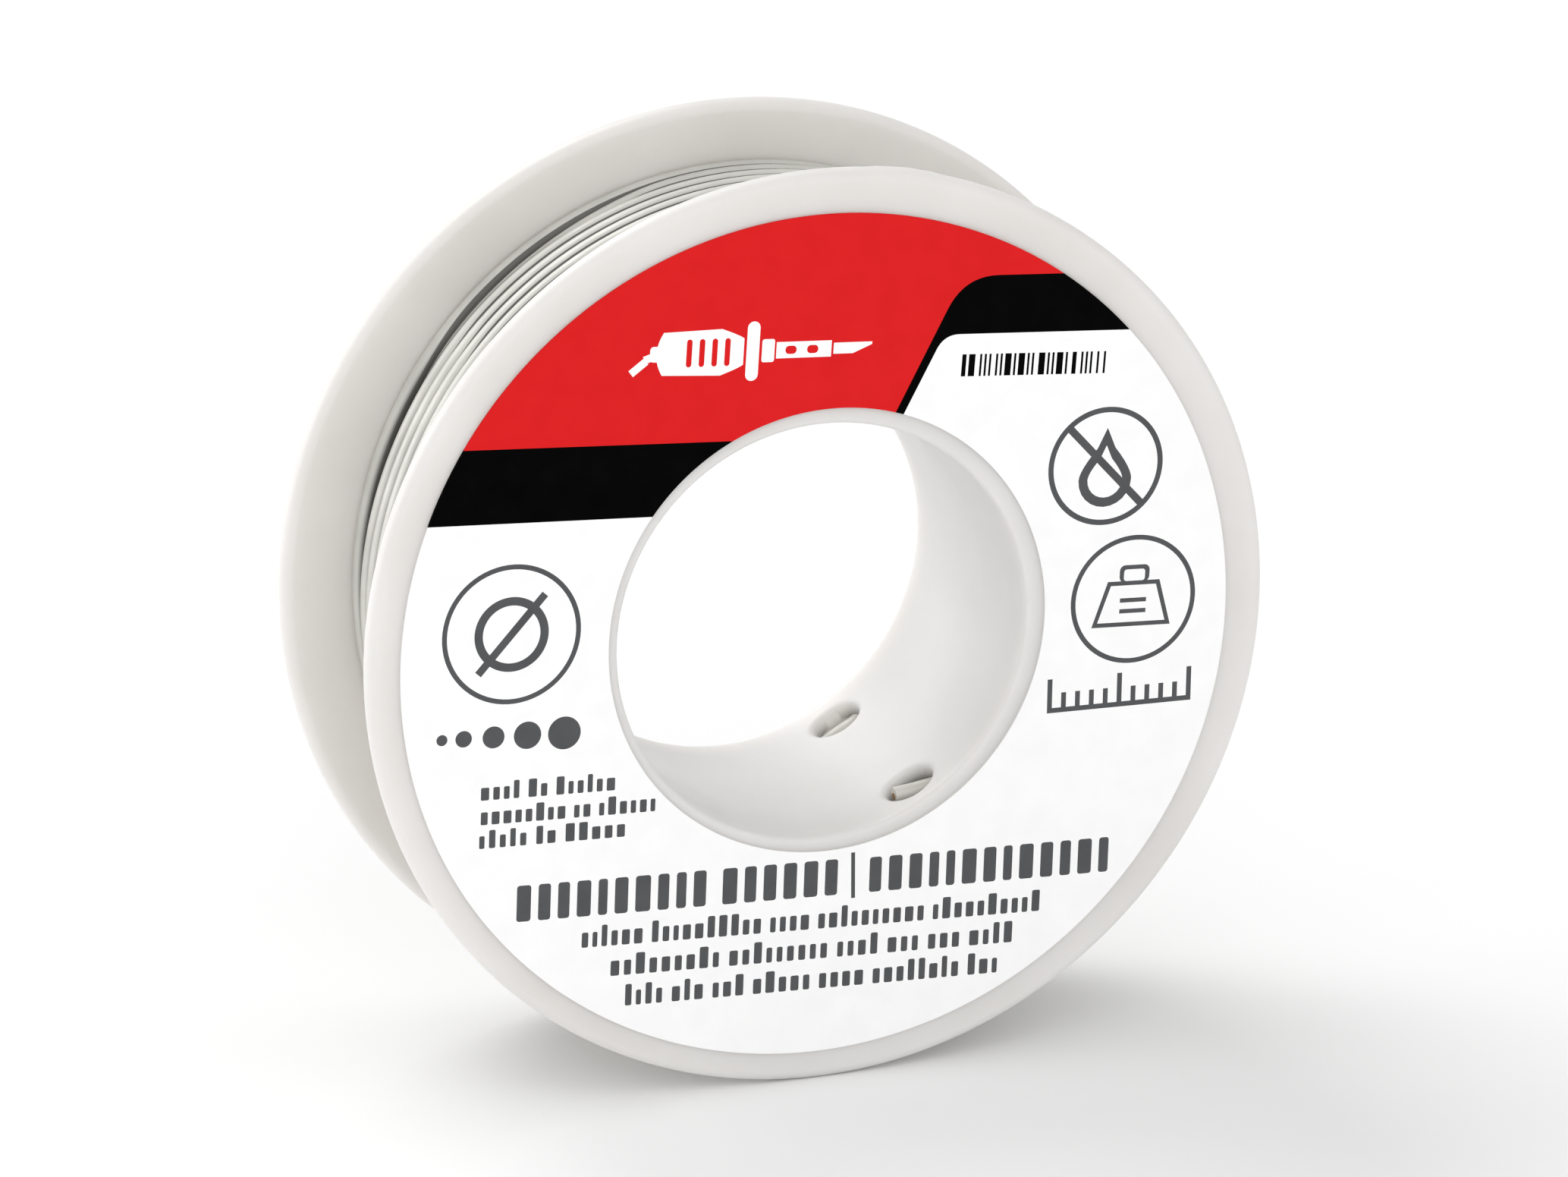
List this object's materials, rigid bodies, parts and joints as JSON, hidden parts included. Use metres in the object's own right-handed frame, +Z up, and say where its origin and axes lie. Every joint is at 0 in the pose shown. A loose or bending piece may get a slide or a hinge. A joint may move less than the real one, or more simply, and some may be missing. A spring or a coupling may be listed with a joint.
{
  "type": "solder wire spool",
  "caption": "Small moulded plastic reel with a ring label and a full winding of flux-cored solder wire",
  "frame": {"origin": "centre of the bore, half way between the outer faces of the two flanges", "axes": "+Z up as the reel stands on its rims, +Y along the bore from the labelled front to the plain back, +X to the right of someone facing the label"},
  "size_m": [0.05, 0.0165, 0.05],
  "materials": {
    "reel_plastic": "off-white moulded polystyrene, satin, slightly translucent at the rims",
    "label_paper": "coated paper label printed in red, black and grey on white",
    "solder_alloy": "bright drawn tin solder, slightly dulled",
    "rosin_flux": "amber rosin"
  },
  "bodies": {
    "root": {"spool_body": "reel_plastic", "front_label": "label_paper", "wire_winding": "solder_alloy", "wire_start_tail": "solder_alloy", "wire_free_end": "solder_alloy", "start_flux_core": "rosin_flux", "end_flux_core": "rosin_flux"}
  },
  "joints": []
}
